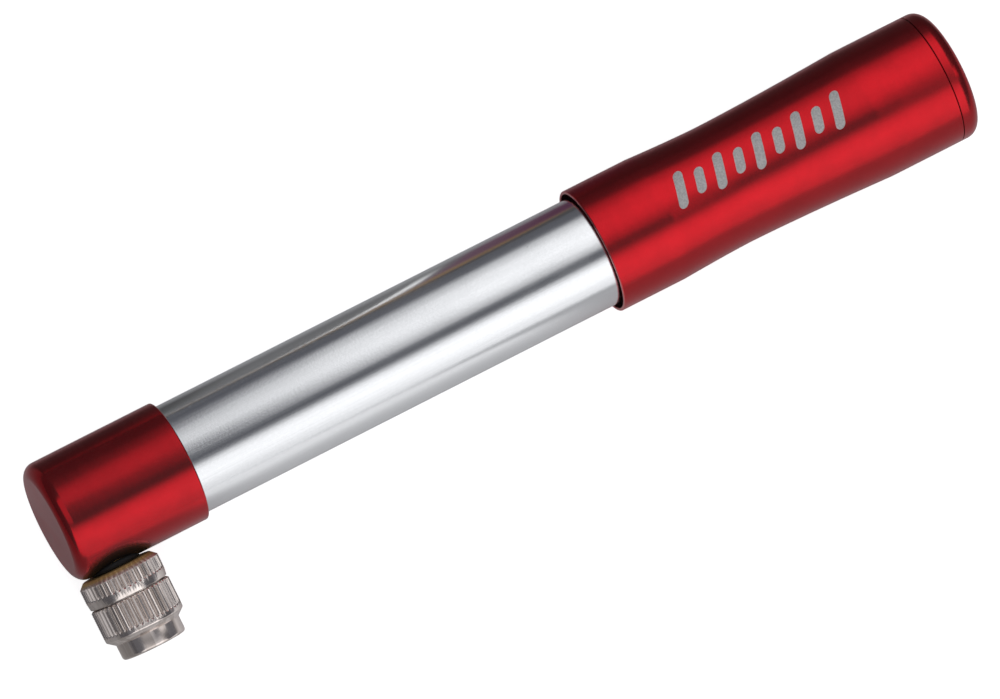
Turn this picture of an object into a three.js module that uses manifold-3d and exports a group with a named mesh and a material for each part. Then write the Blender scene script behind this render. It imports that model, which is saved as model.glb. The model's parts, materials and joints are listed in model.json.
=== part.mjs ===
// Mini pump for bicycle tyres, pushed in for carrying. Lengths are in millimetres.
// The origin is the centre of the head's flat end face, +X runs along the barrel to the handle, +Z is up.
// The pump lies on its side, with its handle and the edge of its chuck on the surface below.

import * as THREE from 'three';
import { mergeVertices } from 'three/addons/utils/BufferGeometryUtils.js';
import Module from 'manifold-3d';

const wasm = await Module();
wasm.setup();

// ---------------------------------------------------------------- driving dimensions

// Stations along the pump are distances from the head's end face, and radii are from the centreline.
const OVERALL_LENGTH = 185;

const HEAD = { radius: 11.55, length: 26.2, corner: 2.3, rimChamfer: 0.3, socket: 10.57, floor: 13.4 };
const AIR_HOLE = 1.5;

const BARREL = { start: 14.3, end: 166.2, inner: 9.5, outer: 10.5 };
const GASKET = { start: 13.5, end: 14.2, inner: 7.5, outer: 10.4 };

// The guide bush plugs the barrel's far end and carries the rod.
const BUSH = { start: 154.2, radius: 9.42, flangeStart: 166.3, flange: 10.6, end: 168.2, hole: 4.1 };
const WIPER_POCKET = { start: 165, radius: 5.4 };
const WIPER = { start: 165.1, end: 167.9, inner: 4.05, outer: 5.3 };
const VENT = { count: 4, radius: 0.9, circle: 7.2 };

const ROD = { start: 20.5, end: 178.3, inner: 2.5, outer: 4 };
const ROD_FIT = 0.05;
const PISTON = { start: 14.9, flange: 9.3, rearFlangeEnd: 24.4, boss: 6.2, end: 26.4 };
const PISTON_POCKET = { radius: 5.1, end: 18.4 };
const RING_GROOVE = { start: 17.9, end: 21.5, radius: 6.7 };
const PISTON_RING = { section: 1.3, outer: 9.45, seatGap: 0.03 };
const NOTCH = { count: 4, width: 3, floor: 7 };
const STOP_BUMPER = { start: 26.5, end: 28.9, inner: 4.05, outer: 8 };

// Both rod screws are M5, with their threads left as plain lands.
const SCREW = { shank: 2.45, clearance: 2.6, head: 4.3, headHeight: 2.35, socket: 2, socketDepth: 1.4 };
const PISTON_WASHER = { start: 17.55, end: 18.35, inner: 2.6, outer: 4.8 };
const PISTON_SCREW = { face: 17.5, tip: 30 };
const ROD_WASHER = { start: 178.35, end: 179.15, inner: 2.6, outer: 6 };
const ROD_SCREW = { face: 179.2, tip: 168 };

// The grip is straight at its rim, eases in to a waist and eases out to its end.
const GRIP = { start: 110.9, end: 181.05, wall: 0.6, rim: 12, waist: 11.46, tail: 12.45 };
const GRIP_EASE = { start: 123.9, waist: 138.2, end: 166.9, steps: 5 };
const RIM_ROUND = 0.25;
const CAP = { start: 181.35, corner: 2.4, hollow: 10, floor: 183.2, spigot: 11.65, spigotStart: 178.4 };
const PLUG = { start: 170.2, end: 178.2, radius: 11.65, hole: 4.1, waist: 10.4, landLength: 1.8 };
const CLOSING_BUMPER = { start: 168.5, end: 170.1, inner: 5.9, outer: 9.2 };
const ROD_COLLAR = { start: 168.6, end: 170.1, inner: 4.05, outer: 5.6 };

// The chuck stands at right angles to the pump, drooping until its ring nearly touches the surface below.
// Stations along it are distances from the pump's centreline.
const CHUCK = { station: 7.54, droop: THREE.MathUtils.degToRad(11.87) };
const STEM = { start: 3, radius: 4.8, hole: 4.9, holeFloor: -1.5, valveBore: 3, valveBoreEnd: 12 };
const STEM_GROOVE = { start: 10.4, radius: 3.62 };
const STEM_RING = { station: 11.2, circle: 4.25, section: 0.6 };
const COLLAR = { start: 11.87, neck: 6.6, radius: 7.68, end: 17, endRadius: 7.45 };
const COLLAR_KNURL = { start: 12.9, end: 15.1, fade: 0.5 };
const NOSE = { radius: 6.2, end: 20, passage: 1.3 };
const KNURL = { teeth: 44, depth: 0.35 };

const VALVE_SEAT = { start: 3.1, end: 5, inner: 1, outer: 2.9 };
const VALVE_DISC = { start: 5.1, end: 5.7, radius: 2.2 };
const POPPET = { start: 5.75, end: 6.6, radius: 2.6, stem: 1, stemEnd: 8.6 };
const SPRING = { start: 6.85, end: 11.75, turns: 5, radius: 1.8, wire: 0.2 };

const RING = { start: 17.3, edge: 7.4, radius: 7.65, shoulder: 23.35 };
const RING_KNURL = { start: 17.5, end: 22.2, fade: 0.5 };
const TIP = { start: 24.5, neck: 6.35, radius: 6.2, end: 27.5, round: 0.6, mouth: 4.3, mouthStart: 26.4 };
const CAP_BORE = { thread: 6.3, threadEnd: 20.2, seal: 5.3 };
const VALVE_PIN = { start: 20.35, end: 21, outer: 5.2, pin: 1, pinEnd: 22.9 };
const PIN_HOLES = { count: 3, radius: 0.7, circle: 2.9 };
const VALVE_SEAL = { start: 21.1, end: 26.3, inner: 4, outer: 5.2 };

// Sides of the round bodies.
const SHELL_SIDES = 40;
const INNER_SIDES = 24;
const SMALL_SIDES = 12;
const HOLE_SIDES = 8;
const CORNER_STEPS = 4;

// ---------------------------------------------------------------- finishes

function finish(color, roughness, metalness) {
  return () => new THREE.MeshStandardMaterial({ color, roughness, metalness });
}

const redAnodised = finish(0xb01824, 0.3, 0.9);
const polishedAluminium = finish(0xd4d6da, 0.18, 1);
const nickel = finish(0xb6aca4, 0.28, 1);
const brass = finish(0xb89a56, 0.35, 1);
const steel = finish(0x9a9ca0, 0.3, 1);
const darkPlastic = finish(0x1d1e20, 0.55, 0);
const greyPlastic = finish(0x3b3d40, 0.6, 0);
const rubber = finish(0x141414, 0.8, 0);
const felt = finish(0x8c8674, 0.95, 0);

// ---------------------------------------------------------------- shapes

// A body of revolution about +X. The outline is a list of [station, radius] points, and it closes on
// itself unless it starts and ends on the axis.
function turned(outline, sides) {
  const onAxis = outline[0][1] === 0 && outline.at(-1)[1] === 0;
  const loop = onAxis ? outline : [...outline, outline[0]];
  const points = loop.map(([station, radius]) => new THREE.Vector2(radius, station));
  if (THREE.ShapeUtils.area(points) < 0) points.reverse();
  const geometry = new THREE.LatheGeometry(points, sides);
  geometry.rotateZ(-Math.PI / 2);
  return geometry;
}

// A plain ring or tube with square ends.
function ring({ start, end, inner, outer }, sides) {
  return turned([[start, inner], [start, outer], [end, outer], [end, inner]], sides);
}

// A solid round bar with square ends.
function bar(start, end, radius, sides) {
  return turned([[start, 0], [start, radius], [end, radius], [end, 0]], sides);
}

// Outline points of a round corner about a centre. Angles are in degrees, 0 along +X and 90 outwards.
function roundCorner(station, radius, size, from, to, steps = CORNER_STEPS) {
  const points = [];
  for (let i = 0; i <= steps; i++) {
    const angle = THREE.MathUtils.degToRad(from + ((to - from) * i) / steps);
    points.push([station + size * Math.cos(angle), radius + size * Math.sin(angle)]);
  }
  return points;
}

// An O-ring about +X.
function oRing(station, circle, section) {
  const geometry = new THREE.TorusGeometry(circle, section, HOLE_SIDES, INNER_SIDES);
  geometry.rotateY(Math.PI / 2);
  geometry.translate(station, 0, 0);
  return geometry;
}

// Cuts straight flutes between two stations of a turned body that has two sides to each tooth.
function knurl(geometry, start, end) {
  const position = geometry.attributes.position;
  const columns = 2 * KNURL.teeth + 1;
  const rows = position.count / columns;
  for (let i = 0; i < position.count; i++) {
    const between = position.getX(i) > start - 0.01 && position.getX(i) < end + 0.01;
    const radius = Math.hypot(position.getY(i), position.getZ(i));
    const fluted = Math.floor(i / rows) % 2 === 1 && radius > COLLAR.radius - 0.01;
    if (!between || !fluted) continue;
    const shrink = (radius - KNURL.depth) / radius;
    position.setY(i, position.getY(i) * shrink);
    position.setZ(i, position.getZ(i) * shrink);
  }
  return geometry;
}

// ---------------------------------------------------------------- joining and cutting

function toSolid(geometry) {
  const bare = geometry.clone();
  bare.deleteAttribute('normal');
  bare.deleteAttribute('uv');
  const merged = mergeVertices(bare, 1e-4);
  const triangles = [];
  for (let i = 0; i < merged.index.count; i += 3) {
    const [a, b, c] = [0, 1, 2].map((k) => merged.index.getX(i + k));
    if (a !== b && b !== c && c !== a) triangles.push(a, b, c);
  }
  const vertProperties = merged.attributes.position.array;
  const triVerts = new Uint32Array(triangles);
  return new wasm.Manifold(new wasm.Mesh({ numProp: 3, vertProperties, triVerts }));
}

function toGeometry(solid) {
  const mesh = solid.getMesh();
  const geometry = new THREE.BufferGeometry();
  geometry.setAttribute('position', new THREE.BufferAttribute(mesh.vertProperties, 3));
  geometry.setIndex(new THREE.BufferAttribute(mesh.triVerts, 1));
  geometry.computeVertexNormals();
  return geometry;
}

// Joins the bodies, then takes the cutters away from them.
function combine(bodies, cutters) {
  const joined = bodies.map(toSolid).reduce((left, right) => left.add(right));
  return toGeometry(cutters.map(toSolid).reduce((left, right) => left.subtract(right), joined));
}

// Copies of a cutter spread evenly about +X. The first stands where it was made.
function spread(count, makeCutter) {
  return Array.from({ length: count }, (_, i) => makeCutter().rotateX((2 * Math.PI * i) / count));
}

// ---------------------------------------------------------------- head and barrel

// Turns a body made about +X so that it points along the chuck.
const chuckFrame = new THREE.Matrix4()
  .makeTranslation(CHUCK.station, 0, 0)
  .multiply(new THREE.Matrix4().makeRotationX(CHUCK.droop))
  .multiply(new THREE.Matrix4().makeRotationZ(-Math.PI / 2));

function headShell() {
  const corner = roundCorner(HEAD.corner, HEAD.radius - HEAD.corner, HEAD.corner, 180, 90);
  const body = turned([
    [0, 0],
    ...corner,
    [HEAD.length - HEAD.rimChamfer, HEAD.radius],
    [HEAD.length, HEAD.radius - HEAD.rimChamfer],
    [HEAD.length, HEAD.socket],
    [HEAD.floor, HEAD.socket],
    [HEAD.floor, 0],
  ], SHELL_SIDES);
  const stemHole = bar(STEM.holeFloor, 2 * HEAD.radius, STEM.hole, INNER_SIDES).applyMatrix4(chuckFrame);
  const airHole = bar(CHUCK.station, HEAD.floor + 1, AIR_HOLE, SMALL_SIDES);
  return combine([body], [stemHole, airHole]);
}

function guideBush() {
  const body = turned([
    [BUSH.start, BUSH.hole],
    [BUSH.start, BUSH.radius],
    [BUSH.flangeStart, BUSH.radius],
    [BUSH.flangeStart, BUSH.flange],
    [BUSH.end, BUSH.flange],
    [BUSH.end, WIPER_POCKET.radius],
    [WIPER_POCKET.start, WIPER_POCKET.radius],
    [WIPER_POCKET.start, BUSH.hole],
  ], SHELL_SIDES);
  const vent = () => bar(BUSH.start - 1, BUSH.end + 1, VENT.radius, HOLE_SIDES).translate(0, 0, VENT.circle);
  return combine([body], spread(VENT.count, vent));
}

// ---------------------------------------------------------------- piston and rod

// Air passes the ring through the front notches on the pull stroke, and the rear flange seals the push.
function piston() {
  const body = turned([
    [PISTON.start, PISTON_POCKET.radius],
    [PISTON.start, PISTON.flange],
    [RING_GROOVE.start, PISTON.flange],
    [RING_GROOVE.start, RING_GROOVE.radius],
    [RING_GROOVE.end, RING_GROOVE.radius],
    [RING_GROOVE.end, PISTON.flange],
    [PISTON.rearFlangeEnd, PISTON.flange],
    [PISTON.rearFlangeEnd, PISTON.boss],
    [PISTON.end, PISTON.boss],
    [PISTON.end, ROD.outer + ROD_FIT],
    [ROD.start - ROD_FIT, ROD.outer + ROD_FIT],
    [ROD.start - ROD_FIT, SCREW.clearance],
    [PISTON_POCKET.end, SCREW.clearance],
    [PISTON_POCKET.end, PISTON_POCKET.radius],
  ], INNER_SIDES);
  const length = RING_GROOVE.start - PISTON.start + 1;
  const middle = (RING_GROOVE.start + PISTON.start - 1) / 2;
  const notch = () => new THREE.BoxGeometry(length, NOTCH.width, 2 * (PISTON.flange - NOTCH.floor))
    .translate(middle, 0, PISTON.flange);
  return combine([body], spread(NOTCH.count, notch));
}

function pistonRing() {
  const station = RING_GROOVE.end - PISTON_RING.section - PISTON_RING.seatGap;
  return oRing(station, PISTON_RING.outer - PISTON_RING.section, PISTON_RING.section);
}

// A button-headed screw with a hexagon socket, from the face under its head to its tip.
function screw({ face, tip }) {
  const direction = Math.sign(tip - face);
  const top = face - direction * SCREW.headHeight;
  const body = turned([
    [top, 0],
    [top, SCREW.head - 0.8],
    [top + direction * 0.8, SCREW.head],
    [face, SCREW.head],
    [face, SCREW.shank],
    [tip - direction * 0.6, SCREW.shank],
    [tip, SCREW.shank - 0.6],
    [tip, 0],
  ], INNER_SIDES);
  const socketFloor = top + direction * SCREW.socketDepth;
  const ends = [top - direction, socketFloor];
  return combine([body], [bar(Math.min(...ends), Math.max(...ends), SCREW.socket, 6)]);
}

// ---------------------------------------------------------------- handle

function gripRadius(station) {
  const narrowing = THREE.MathUtils.smoothstep(station, GRIP_EASE.start, GRIP_EASE.waist);
  const widening = THREE.MathUtils.smoothstep(station, GRIP_EASE.waist, GRIP_EASE.end);
  const afterWaist = THREE.MathUtils.lerp(GRIP.waist, GRIP.tail, widening);
  return widening > 0 ? afterWaist : THREE.MathUtils.lerp(GRIP.rim, GRIP.waist, narrowing);
}

function easedStations(from, to) {
  return Array.from({ length: GRIP_EASE.steps }, (_, i) => from + ((to - from) * i) / GRIP_EASE.steps);
}

// A thin tube formed to one wall thickness, so its inside follows its outside.
function handleSleeve() {
  const stations = [
    ...easedStations(GRIP_EASE.start, GRIP_EASE.waist),
    ...easedStations(GRIP_EASE.waist, GRIP_EASE.end),
    GRIP_EASE.end,
  ];
  const outside = stations.map((station) => [station, gripRadius(station)]);
  const everySecond = outside.filter((_, i) => i % 2 === 0);
  const inside = everySecond.map(([station, radius]) => [station, radius - GRIP.wall]);
  const rimRound = roundCorner(GRIP.start + RIM_ROUND, GRIP.rim - RIM_ROUND, RIM_ROUND, 180, 90, 2);
  return turned([
    [GRIP.start, GRIP.rim - GRIP.wall],
    ...rimRound,
    ...outside,
    [GRIP.end, GRIP.tail],
    [GRIP.end, GRIP.tail - GRIP.wall],
    ...inside.reverse(),
  ], SHELL_SIDES);
}

function handleCap() {
  const corner = roundCorner(OVERALL_LENGTH - CAP.corner, GRIP.tail - CAP.corner, CAP.corner, 90, 0);
  return turned([
    [CAP.floor, 0],
    [CAP.floor, CAP.hollow],
    [CAP.spigotStart, CAP.hollow],
    [CAP.spigotStart, CAP.spigot],
    [CAP.start, CAP.spigot],
    [CAP.start, GRIP.tail],
    ...corner,
    [OVERALL_LENGTH, 0],
  ], SHELL_SIDES);
}

function handlePlug() {
  return turned([
    [PLUG.start, PLUG.hole],
    [PLUG.start, PLUG.radius],
    [PLUG.start + PLUG.landLength, PLUG.radius],
    [PLUG.start + PLUG.landLength, PLUG.waist],
    [PLUG.end - PLUG.landLength, PLUG.waist],
    [PLUG.end - PLUG.landLength, PLUG.radius],
    [PLUG.end, PLUG.radius],
    [PLUG.end, PLUG.hole],
  ], SHELL_SIDES);
}

// ---------------------------------------------------------------- chuck

function chuckBase() {
  const collar = turned([
    [COLLAR.start, 0],
    [COLLAR.start, COLLAR.neck],
    [COLLAR_KNURL.start, COLLAR.radius],
    [COLLAR_KNURL.end, COLLAR.radius],
    [COLLAR_KNURL.end + COLLAR_KNURL.fade, COLLAR.radius],
    [COLLAR.end, COLLAR.endRadius],
    [COLLAR.end, 0],
  ], 2 * KNURL.teeth);
  const stem = turned([
    [STEM.start, 0],
    [STEM.start, STEM.radius],
    [STEM_GROOVE.start, STEM.radius],
    [STEM_GROOVE.start, STEM_GROOVE.radius],
    [COLLAR_KNURL.start, STEM_GROOVE.radius],
    [COLLAR_KNURL.start, 0],
  ], INNER_SIDES);
  const nose = bar(COLLAR_KNURL.end, NOSE.end, NOSE.radius, INNER_SIDES);
  const valveBore = bar(STEM.start - 1, STEM.valveBoreEnd, STEM.valveBore, INNER_SIDES);
  const passage = bar(STEM.valveBoreEnd - 1, NOSE.end + 1, NOSE.passage, SMALL_SIDES);
  return combine([knurl(collar, COLLAR_KNURL.start, COLLAR_KNURL.end), stem, nose], [valveBore, passage]);
}

function chuckCap() {
  const ringBody = turned([
    [RING.start, 0],
    [RING.start, RING.edge],
    [RING_KNURL.start, RING.radius],
    [RING_KNURL.end, RING.radius],
    [RING_KNURL.end + RING_KNURL.fade, RING.radius],
    [RING.shoulder, RING.radius],
    [TIP.start, TIP.neck],
    [TIP.start, 0],
  ], 2 * KNURL.teeth);
  const tip = turned([
    [RING.shoulder, 0],
    [RING.shoulder, TIP.radius],
    ...roundCorner(TIP.end - TIP.round, TIP.radius - TIP.round, TIP.round, 90, 0),
    [TIP.end, 0],
  ], SHELL_SIDES);
  const threadBore = bar(RING.start - 1, CAP_BORE.threadEnd, CAP_BORE.thread, INNER_SIDES);
  const sealBore = bar(RING.start, TIP.mouthStart, CAP_BORE.seal, INNER_SIDES);
  const mouth = bar(RING.start, TIP.end + 1, TIP.mouth, INNER_SIDES);
  return combine([knurl(ringBody, RING_KNURL.start, RING_KNURL.end), tip], [threadBore, sealBore, mouth]);
}

function valveDisc() {
  return bar(VALVE_DISC.start, VALVE_DISC.end, VALVE_DISC.radius, SMALL_SIDES);
}

function poppet() {
  return turned([
    [POPPET.start, 0],
    [POPPET.start, POPPET.radius],
    [POPPET.end, POPPET.radius],
    [POPPET.end, POPPET.stem],
    [POPPET.stemEnd, POPPET.stem],
    [POPPET.stemEnd, 0],
  ], SMALL_SIDES);
}

class Helix extends THREE.Curve {
  getPoint(t, target = new THREE.Vector3()) {
    const angle = 2 * Math.PI * SPRING.turns * t;
    const station = THREE.MathUtils.lerp(SPRING.start + SPRING.wire, SPRING.end - SPRING.wire, t);
    return target.set(station, SPRING.radius * Math.cos(angle), SPRING.radius * Math.sin(angle));
  }
}

function valveSpring() {
  const wire = new THREE.Shape().absarc(0, 0, SPRING.wire, 0, 2 * Math.PI);
  const steps = SPRING.turns * SMALL_SIDES;
  return new THREE.ExtrudeGeometry(wire, { steps, extrudePath: new Helix(), curveSegments: 3 });
}

function valvePin() {
  const body = turned([
    [VALVE_PIN.start, 0],
    [VALVE_PIN.start, VALVE_PIN.outer],
    [VALVE_PIN.end, VALVE_PIN.outer],
    [VALVE_PIN.end, VALVE_PIN.pin],
    [VALVE_PIN.pinEnd - 0.3, VALVE_PIN.pin],
    [VALVE_PIN.pinEnd, VALVE_PIN.pin - 0.3],
    [VALVE_PIN.pinEnd, 0],
  ], INNER_SIDES);
  const hole = () => bar(VALVE_PIN.start - 1, VALVE_PIN.end + 1, PIN_HOLES.radius, HOLE_SIDES)
    .translate(0, 0, PIN_HOLES.circle);
  return combine([body], spread(PIN_HOLES.count, hole));
}

// ---------------------------------------------------------------- assembly

const pump = new THREE.Group();

const chuck = new THREE.Group();
chuck.position.set(CHUCK.station, 0, 0);
chuck.rotation.set(CHUCK.droop, 0, -Math.PI / 2);
pump.add(chuck);

function place(group, name, material, geometry) {
  const mesh = new THREE.Mesh(geometry, material());
  mesh.name = name;
  group.add(mesh);
}

place(pump, 'head_shell', redAnodised, headShell());
place(pump, 'barrel', polishedAluminium, ring(BARREL, SHELL_SIDES));
place(pump, 'barrel_gasket', rubber, ring(GASKET, INNER_SIDES));
place(pump, 'guide_bush', darkPlastic, guideBush());
place(pump, 'rod_wiper', felt, ring(WIPER, INNER_SIDES));

place(pump, 'piston', darkPlastic, piston());
place(pump, 'piston_o_ring', rubber, pistonRing());
place(pump, 'piston_washer', steel, ring(PISTON_WASHER, INNER_SIDES));
place(pump, 'piston_screw', steel, screw(PISTON_SCREW));
place(pump, 'stop_bumper', rubber, ring(STOP_BUMPER, INNER_SIDES));
place(pump, 'piston_rod', polishedAluminium, ring(ROD, INNER_SIDES));
place(pump, 'rod_collar', steel, ring(ROD_COLLAR, INNER_SIDES));
place(pump, 'rod_washer', steel, ring(ROD_WASHER, INNER_SIDES));
place(pump, 'rod_screw', steel, screw(ROD_SCREW));

place(pump, 'handle_sleeve', redAnodised, handleSleeve());
place(pump, 'handle_cap', redAnodised, handleCap());
place(pump, 'handle_plug', darkPlastic, handlePlug());
place(pump, 'closing_bumper', rubber, ring(CLOSING_BUMPER, INNER_SIDES));

place(chuck, 'chuck_base', nickel, chuckBase());
place(chuck, 'stem_o_ring', rubber, oRing(STEM_RING.station, STEM_RING.circle, STEM_RING.section));
place(chuck, 'check_valve_seat', brass, ring(VALVE_SEAT, INNER_SIDES));
place(chuck, 'check_valve_disc', rubber, valveDisc());
place(chuck, 'check_valve_poppet', greyPlastic, poppet());
place(chuck, 'check_valve_spring', steel, valveSpring());
place(chuck, 'valve_pin', brass, valvePin());
place(chuck, 'valve_seal', rubber, ring(VALVE_SEAL, INNER_SIDES));
place(chuck, 'chuck_cap', nickel, chuckCap());

export default pump;
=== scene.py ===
"""Mini pump: turned metal, moulded and rubber pieces with their finishes, on a pale studio floor."""

import json
import math

import bmesh
import bpy
from bpy.props import FloatProperty, FloatVectorProperty, IntProperty, PointerProperty
from mathutils import Matrix, Vector


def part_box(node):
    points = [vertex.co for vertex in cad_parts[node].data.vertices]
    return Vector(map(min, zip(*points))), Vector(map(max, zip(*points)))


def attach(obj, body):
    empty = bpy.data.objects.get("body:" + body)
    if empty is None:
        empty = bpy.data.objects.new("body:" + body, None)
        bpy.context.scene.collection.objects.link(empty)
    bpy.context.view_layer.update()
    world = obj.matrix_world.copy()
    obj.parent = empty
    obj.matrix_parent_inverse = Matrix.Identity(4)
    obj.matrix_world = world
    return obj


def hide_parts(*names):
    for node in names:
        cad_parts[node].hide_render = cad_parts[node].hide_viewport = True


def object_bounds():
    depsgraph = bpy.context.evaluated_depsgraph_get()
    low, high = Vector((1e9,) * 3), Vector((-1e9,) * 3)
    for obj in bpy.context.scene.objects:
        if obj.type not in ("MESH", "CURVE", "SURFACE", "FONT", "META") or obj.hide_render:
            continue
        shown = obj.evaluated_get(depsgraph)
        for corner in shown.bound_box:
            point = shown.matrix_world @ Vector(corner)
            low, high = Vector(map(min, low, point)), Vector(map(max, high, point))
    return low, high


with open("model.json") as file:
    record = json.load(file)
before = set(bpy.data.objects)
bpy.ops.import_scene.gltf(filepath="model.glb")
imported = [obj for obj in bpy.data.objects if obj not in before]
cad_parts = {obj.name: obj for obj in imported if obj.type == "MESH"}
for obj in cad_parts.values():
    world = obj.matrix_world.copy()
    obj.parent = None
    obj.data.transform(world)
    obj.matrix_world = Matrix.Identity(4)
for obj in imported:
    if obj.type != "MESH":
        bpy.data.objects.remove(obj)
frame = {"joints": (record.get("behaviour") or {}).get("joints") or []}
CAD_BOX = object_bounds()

bl_info = {
    "name": "Mini pump",
    "version": (1, 0, 0),
    "blender": (4, 5, 0),
    "location": "View3D > Sidebar > Mini pump",
    "description": "Models a bicycle mini pump piece by piece around its engineering frame",
    "category": "Add Mesh",
}

MM = 0.001
NEAR = 2e-6  # how close a point must be to a station to count as on it
FINE_SIDES = 160
SMALL_SIDES = 72
HOLE_SIDES = 24
COLUMNS = 8  # columns of points from one ridge of a knurl to the next
FINE_RELIEF = 0.006 * MM  # depth of the marks and grain on turned and blasted metal
FRAME_SEAM = 0.3 * MM  # the frame's gap between the handle's sleeve and its cap
VIEW = (0.208, 0.143, -0.967)  # the camera looks down, a little towards the handle, from the chuck's side
FADE = (0.17, 0.3)  # the soft boxes fall off towards the head between these distances along the barrel


# ---------------------------------------------------------------- sizes and colours


def size(name, millimetres, description):
    """A length property that is entered and shown in scene units."""
    return FloatProperty(
        name=name,
        description=description,
        default=millimetres * MM,
        precision=5,
        unit="LENGTH",
        subtype="DISTANCE",
    )


def angle(name, degrees, description):
    """An angle property."""
    return FloatProperty(
        name=name,
        description=description,
        default=math.radians(degrees),
        unit="ROTATION",
        subtype="ANGLE",
    )


def colour(name, value, description):
    """A colour property."""
    return FloatVectorProperty(
        name=name,
        description=description,
        default=value,
        size=3,
        min=0,
        max=1,
        subtype="COLOR",
    )


class HeadSizes(bpy.types.PropertyGroup):
    """Sizes of the head and the barrel."""

    corner: size("End corner", 2.3, "Radius between the head's flat end and its side")
    rim_round: size("Rim rounding", 0.3, "Rounding of the head's open rim")
    socket_fit: size("Socket fit", 0.07, "Gap round the barrel inside the head")
    socket_floor: size("Socket floor", 13.4, "Distance from the end face to the floor of the barrel socket")
    stem_hole: size("Stem hole", 4.9, "Radius of the side hole for the chuck's stem")
    stem_hole_depth: size("Stem hole depth", 1.5, "How far the side hole passes the centreline")
    barrel_wall: size("Barrel wall", 1.0, "Wall thickness of the barrel")
    barrel_round: size("Barrel edge", 0.2, "Rounding of the barrel's ends")


class HandleSizes(bpy.types.PropertyGroup):
    """Sizes of the sliding handle."""

    seam: size("Seam", 0.17, "Width of the seam between the sleeve and the cap")
    wall: size("Sleeve wall", 0.6, "Wall thickness of the handle sleeve")
    rim_radius: size("Rim radius", 12.0, "Outer radius of the sleeve at its open rim")
    waist_radius: size("Waist radius", 11.46, "Outer radius of the sleeve at its waist")
    rim_length: size("Rim length", 13.0, "Length of the straight stretch behind the rim")
    waist: size("Waist distance", 27.3, "Distance from the rim to the waist")
    tail: size("Tail distance", 56.0, "Distance from the rim to where the straight tail starts")
    rim_round: size("Rim rounding", 0.22, "Rounding of the sleeve's rim")
    seam_round: size("Seam rounding", 0.05, "Rounding of the edges on both sides of the seam")
    cap_corner: size("Cap corner", 2.4, "Radius between the cap's side and its flat end")
    spigot: size("Spigot radius", 11.65, "Radius of the cap's spigot inside the sleeve")
    hollow: size("Hollow radius", 10.0, "Radius of the hollow inside the cap")
    cap_end: size("Cap end", 1.8, "Thickness of the cap's end")
    mark_centre: size("Mark centre", 33.6, "Distance from the rim to the middle of the etched mark")
    mark_turn: angle("Mark turn", 4.8, "How far the etched mark is turned from the top towards the back")


class ChuckSizes(bpy.types.PropertyGroup):
    """Sizes of the chuck, as distances from the pump's centreline and radii from the chuck's own axis."""

    teeth: IntProperty(name="Teeth", description="Ridges round each knurled ring", default=44, min=12)
    flute: size("Flute depth", 0.42, "Depth of the grooves of the knurl")
    stem: size("Stem radius", 4.8, "Radius of the stem inside the head")
    stem_start: size("Stem start", 3.0, "Where the stem starts")
    collar_start: size("Collar start", 11.87, "Where the collar's face under the head lies")
    collar_neck: size("Collar neck", 6.6, "Radius of the collar at its face under the head")
    collar: size("Collar radius", 7.68, "Radius over the ridges of the collar")
    collar_end: size("Collar end", 17.0, "Where the collar's lower face lies")
    nose: size("Nose radius", 6.2, "Radius of the nose that the cap screws on")
    nose_end: size("Nose end", 20.0, "Where the nose ends")
    ring: size("Ring radius", 7.65, "Radius over the ridges of the cap's ring")
    ring_start: size("Ring start", 17.3, "Where the cap's ring starts")
    shoulder: size("Shoulder", 23.35, "Where the ring's straight side ends")
    tip_start: size("Tip start", 24.5, "Where the ring's bevel meets the tip")
    tip: size("Tip radius", 6.2, "Outer radius of the tip")
    tip_end: size("Tip end", 27.5, "Where the tip ends")
    mouth: size("Mouth radius", 4.3, "Radius of the opening for the tyre valve")


class FinishColours(bpy.types.PropertyGroup):
    """Colours of the finishes."""

    red: colour("Red", (0.55, 0.006, 0.013), "Anodised head and handle")
    # thin red is thin anodising on edges and also a painted highlight along the rims
    thin_red_and_highlight: colour("Thin red", (0.78, 0.30, 0.30), "Anodising where it is thin on sharp edges")
    silver: colour("Silver", (0.86, 0.87, 0.885), "Polished barrel")
    nickel: colour("Nickel", (0.95, 0.86, 0.81), "Plated chuck")
    # tarnish also darkens the streaks on the plating, which are partly painted reflection bands
    tarnish: colour("Tarnish", (0.30, 0.245, 0.21), "Dull plating in the grooves of the knurl")
    brass: colour("Brass", (0.66, 0.46, 0.19), "Bare brass inside the chuck")
    steel: colour("Steel", (0.56, 0.56, 0.57), "Screws, washers and spring")
    etched: colour("Etched mark", (0.56, 0.545, 0.54), "Bare metal of the etched mark")
    # black is also the painted shade round the chuck's hole in the head
    black: colour("Black", (0.018, 0.018, 0.020), "Moulded pieces and rubber")
    grey: colour("Grey", (0.16, 0.16, 0.17), "Moulded valve parts")
    felt: colour("Felt", (0.34, 0.30, 0.24), "Oiled felt of the wiper")
    floor: colour("Floor", (0.92, 0.92, 0.92), "Studio floor")


class StudioSizes(bpy.types.PropertyGroup):
    """The camera and the lights."""

    focal_length: FloatProperty(
        name="Focal length",
        description="Focal length of the camera in millimetres",
        default=458.0,
        subtype="DISTANCE_CAMERA",
    )
    distance: FloatProperty(
        name="Distance",
        description="Distance from the camera to the middle of the view",
        default=2.283,
        unit="LENGTH",
        subtype="DISTANCE",
    )
    pump_tilt: angle("Pump tilt", 26.93, "Angle of the barrel above the horizontal in the view")
    along: size("View centre along", 87.7, "Distance of the view's centre from the head, along the barrel")
    across: size("View centre across", 8.26, "Distance of the view's centre from the centreline")


# ---------------------------------------------------------------- modelling by hand, in code


def start_clean():
    """Leave edit mode with nothing selected."""
    if bpy.context.object and bpy.context.object.mode != "OBJECT":
        bpy.ops.object.mode_set(mode="OBJECT")
    bpy.ops.object.select_all(action="DESELECT")


def take_up(piece):
    """Select one piece alone and make it the active one."""
    start_clean()
    piece.select_set(True)
    bpy.context.view_layer.objects.active = piece


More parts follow.
